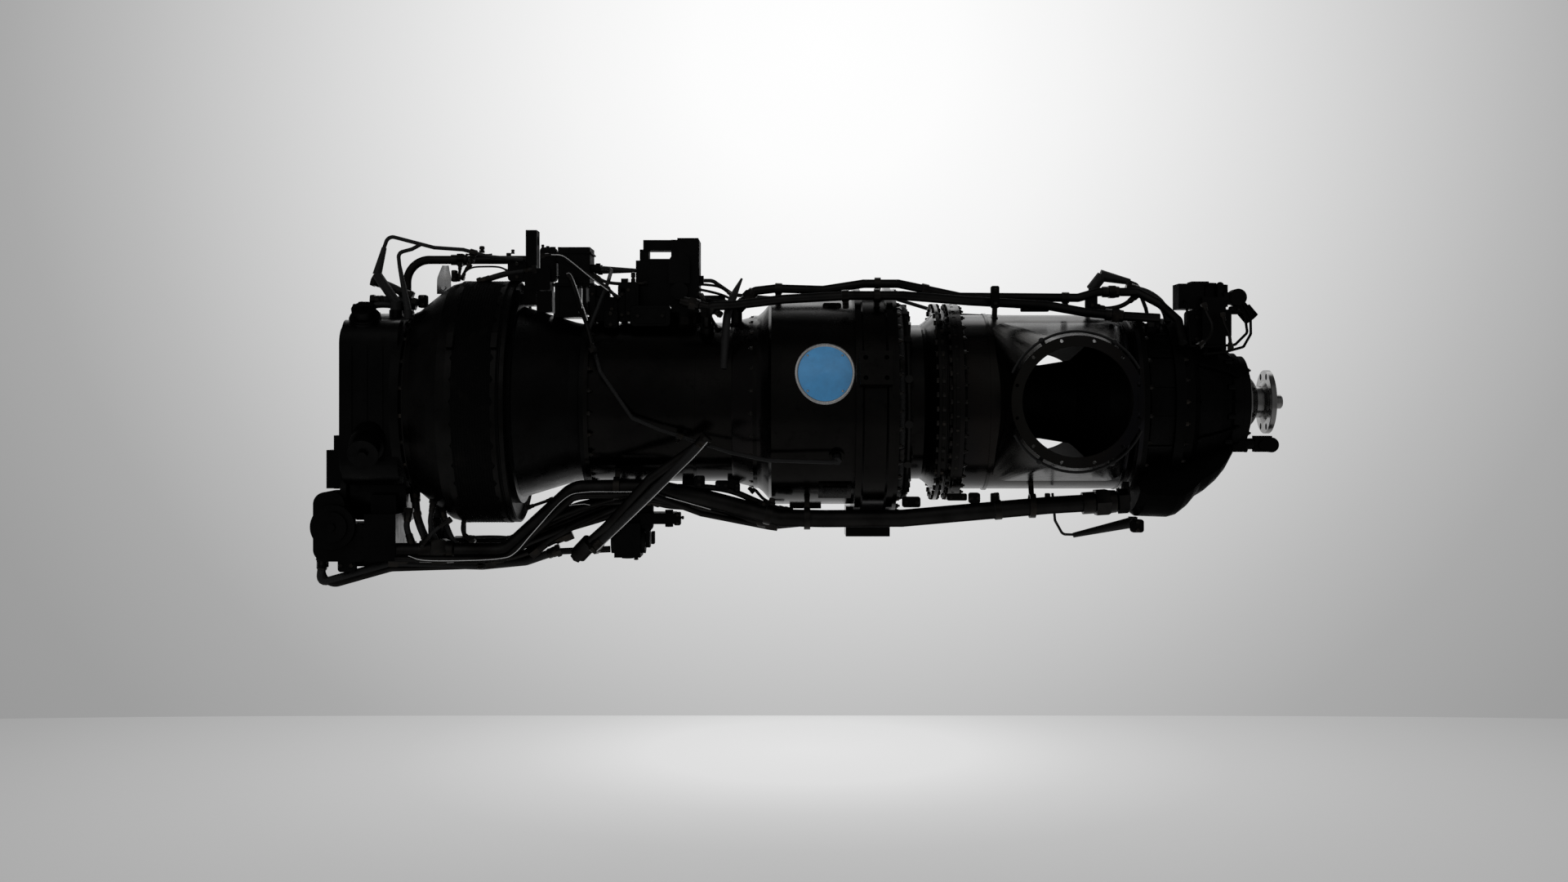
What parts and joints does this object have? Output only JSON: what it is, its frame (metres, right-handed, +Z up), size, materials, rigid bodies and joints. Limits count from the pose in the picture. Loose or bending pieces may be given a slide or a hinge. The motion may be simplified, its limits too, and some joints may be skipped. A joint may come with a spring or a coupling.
{
  "type": "turboprop engine",
  "caption": "Reverse-flow turboprop engine with side exhaust ports, a planetary reduction gearbox, a screened air inlet and accessories at the rear.",
  "frame": {"origin": "centre of the front face of the propeller flange", "axes": "+X forward along the engine towards the propeller, +Z up, +Y to the engine's left"},
  "size_m": [1.941, 0.55, 0.7122],
  "materials": {
    "gearbox_case": "satin dark grey",
    "bright_steel": "machined",
    "gear_steel": "ground",
    "duct_steel": "heat-tinted, polished by use",
    "turbine_alloy": "matt",
    "case_steel": "dark, satin",
    "cast_case": "satin near-black",
    "screen_steel": "satin",
    "black_units": "satin black",
    "tube_steel": "smooth, dark",
    "harness_rubber": "braided, matt",
    "fastener_steel": "dull"
  },
  "bodies": {
    "engine": {"reduction_gearbox_front_housing": "gearbox_case", "reduction_gearbox_rear_housing": "gearbox_case", "propeller_seal_cover": "bright_steel", "first_stage_ring_gear": "gear_steel", "second_stage_ring_gear": "gear_steel", "shaft_bearings": "gear_steel", "exhaust_duct": "duct_steel", "power_turbine_shaft_housing": "duct_steel", "power_turbine_vane_rings": "turbine_alloy", "gas_generator_case": "case_steel", "engine_mount_ring": "case_steel", "combustion_liner": "turbine_alloy", "compressor_turbine_vane_ring": "turbine_alloy", "fuel_manifold": "tube_steel", "diffuser": "turbine_alloy", "compressor_case": "case_steel", "compressor_vane_rings": "turbine_alloy", "compressor_inlet_case": "cast_case", "inlet_screen": "screen_steel", "accessory_gearbox_housing": "cast_case", "accessory_gearbox_cover": "cast_case", "fuel_control_unit": "black_units", "oil_filter_housing": "black_units", "oil_filler_neck": "black_units", "fuel_heater": "black_units", "ignition_exciter": "black_units", "lifting_bracket": "black_units", "bleed_valve_body": "black_units", "propeller_governor": "black_units", "speed_sensor": "black_units", "scavenge_tube": "tube_steel", "oil_pressure_tube": "tube_steel", "compressor_air_tube": "tube_steel", "breather_tube": "tube_steel", "lower_tubes": "tube_steel", "electrical_harness": "harness_rubber", "tube_clamps": "fastener_steel", "flange_bolts": "fastener_steel"},
    "power_turbine": {"power_turbine_shaft": "gear_steel", "power_turbine_discs": "turbine_alloy", "first_stage_sun_gear": "gear_steel"},
    "first_stage_carrier": {"first_stage_carrier": "gear_steel"},
    "propeller_shaft": {"propeller_shaft": "bright_steel"},
    "gas_generator_rotor": {"compressor_rotor": "turbine_alloy", "centrifugal_impeller": "turbine_alloy", "compressor_turbine": "turbine_alloy", "accessory_input_pinion": "gear_steel"},
    "starter_drive_gear": {"starter_drive_gear": "gear_steel"},
    "fuel_idler_gear": {"fuel_idler_gear": "gear_steel"},
    "fuel_pump_gear": {"fuel_pump_gear": "gear_steel"},
    "bleed_valve_piston": {"bleed_valve_piston": "gear_steel"},
    "oil_filler_cap": {"oil_filler_cap": "black_units"},
    "first_stage_planet_1": {"first_stage_planet_1": "gear_steel"},
    "first_stage_planet_2": {"first_stage_planet_2": "gear_steel"},
    "first_stage_planet_3": {"first_stage_planet_3": "gear_steel"},
    "second_stage_planet_1": {"second_stage_planet_1": "gear_steel"},
    "second_stage_planet_2": {"second_stage_planet_2": "gear_steel"},
    "second_stage_planet_3": {"second_stage_planet_3": "gear_steel"},
    "second_stage_planet_4": {"second_stage_planet_4": "gear_steel"},
    "second_stage_planet_5": {"second_stage_planet_5": "gear_steel"}
  },
  "joints": [
    {"name": "power_turbine_spin", "type": "hinge", "parent": "engine", "child": "power_turbine", "pos_m": [-0.5, 0, 0], "axis": [1, 0, 0], "continuous": true},
    {"name": "first_stage_carrier_spin", "type": "hinge", "parent": "engine", "child": "first_stage_carrier", "pos_m": [-0.236, 0, 0], "axis": [1, 0, 0], "continuous": true},
    {"name": "propeller_spin", "type": "hinge", "parent": "engine", "child": "propeller_shaft", "pos_m": [0, 0, 0], "axis": [1, 0, 0], "continuous": true},
    {"name": "first_stage_planet_1_spin", "type": "hinge", "parent": "first_stage_carrier", "child": "first_stage_planet_1", "pos_m": [-0.236, 0, -0.0495], "axis": [1, 0, 0], "continuous": true},
    {"name": "first_stage_planet_2_spin", "type": "hinge", "parent": "first_stage_carrier", "child": "first_stage_planet_2", "pos_m": [-0.236, 0.04287, 0.02475], "axis": [1, 0, 0], "continuous": true},
    {"name": "first_stage_planet_3_spin", "type": "hinge", "parent": "first_stage_carrier", "child": "first_stage_planet_3", "pos_m": [-0.236, -0.04287, 0.02475], "axis": [1, 0, 0], "continuous": true},
    {"name": "second_stage_planet_1_spin", "type": "hinge", "parent": "propeller_shaft", "child": "second_stage_planet_1", "pos_m": [-0.17, 0, -0.072], "axis": [1, 0, 0], "continuous": true},
    {"name": "second_stage_planet_2_spin", "type": "hinge", "parent": "propeller_shaft", "child": "second_stage_planet_2", "pos_m": [-0.17, 0.06848, -0.02225], "axis": [1, 0, 0], "continuous": true},
    {"name": "second_stage_planet_3_spin", "type": "hinge", "parent": "propeller_shaft", "child": "second_stage_planet_3", "pos_m": [-0.17, 0.04232, 0.05825], "axis": [1, 0, 0], "continuous": true},
    {"name": "second_stage_planet_4_spin", "type": "hinge", "parent": "propeller_shaft", "child": "second_stage_planet_4", "pos_m": [-0.17, -0.04232, 0.05825], "axis": [1, 0, 0], "continuous": true},
    {"name": "second_stage_planet_5_spin", "type": "hinge", "parent": "propeller_shaft", "child": "second_stage_planet_5", "pos_m": [-0.17, -0.06848, -0.02225], "axis": [1, 0, 0], "continuous": true},
    {"name": "gas_generator_spin", "type": "hinge", "parent": "engine", "child": "gas_generator_rotor", "pos_m": [-1.2, 0, 0], "axis": [1, 0, 0], "continuous": true},
    {"name": "starter_drive_gear_spin", "type": "hinge", "parent": "engine", "child": "starter_drive_gear", "pos_m": [-1.788, 0, 0.07875], "axis": [1, 0, 0], "continuous": true},
    {"name": "fuel_idler_gear_spin", "type": "hinge", "parent": "engine", "child": "fuel_idler_gear", "pos_m": [-1.788, 0, -0.0725], "axis": [1, 0, 0], "continuous": true},
    {"name": "fuel_pump_gear_spin", "type": "hinge", "parent": "engine", "child": "fuel_pump_gear", "pos_m": [-1.788, 0, -0.1725], "axis": [1, 0, 0], "continuous": true},
    {"name": "bleed_valve_slide", "type": "slide", "parent": "engine", "child": "bleed_valve_piston", "axis": [0, 0, 1], "range_m": [0, 0.012]},
    {"name": "oil_filler_cap_turn", "type": "hinge", "parent": "engine", "child": "oil_filler_cap", "pos_m": [-1.8, -0.11967, 0.17741], "axis": [0, -0.5592, 0.829], "range_deg": [0, 90]}
  ],
  "couplings": [
    {"joint": "first_stage_carrier_spin", "follows": "power_turbine_spin", "ratio": 0.22727},
    {"joint": "propeller_spin", "follows": "power_turbine_spin", "ratio": 0.056818},
    {"joint": "first_stage_planet_1_spin", "follows": "power_turbine_spin", "ratio": -0.64394},
    {"joint": "first_stage_planet_2_spin", "follows": "power_turbine_spin", "ratio": -0.64394},
    {"joint": "first_stage_planet_3_spin", "follows": "power_turbine_spin", "ratio": -0.64394},
    {"joint": "second_stage_planet_1_spin", "follows": "power_turbine_spin", "ratio": -0.17045},
    {"joint": "second_stage_planet_2_spin", "follows": "power_turbine_spin", "ratio": -0.17045},
    {"joint": "second_stage_planet_3_spin", "follows": "power_turbine_spin", "ratio": -0.17045},
    {"joint": "second_stage_planet_4_spin", "follows": "power_turbine_spin", "ratio": -0.17045},
    {"joint": "second_stage_planet_5_spin", "follows": "power_turbine_spin", "ratio": -0.17045},
    {"joint": "starter_drive_gear_spin", "follows": "gas_generator_spin", "ratio": -0.4},
    {"joint": "fuel_idler_gear_spin", "follows": "gas_generator_spin", "ratio": -0.45},
    {"joint": "fuel_pump_gear_spin", "follows": "gas_generator_spin", "ratio": 0.45}
  ]
}
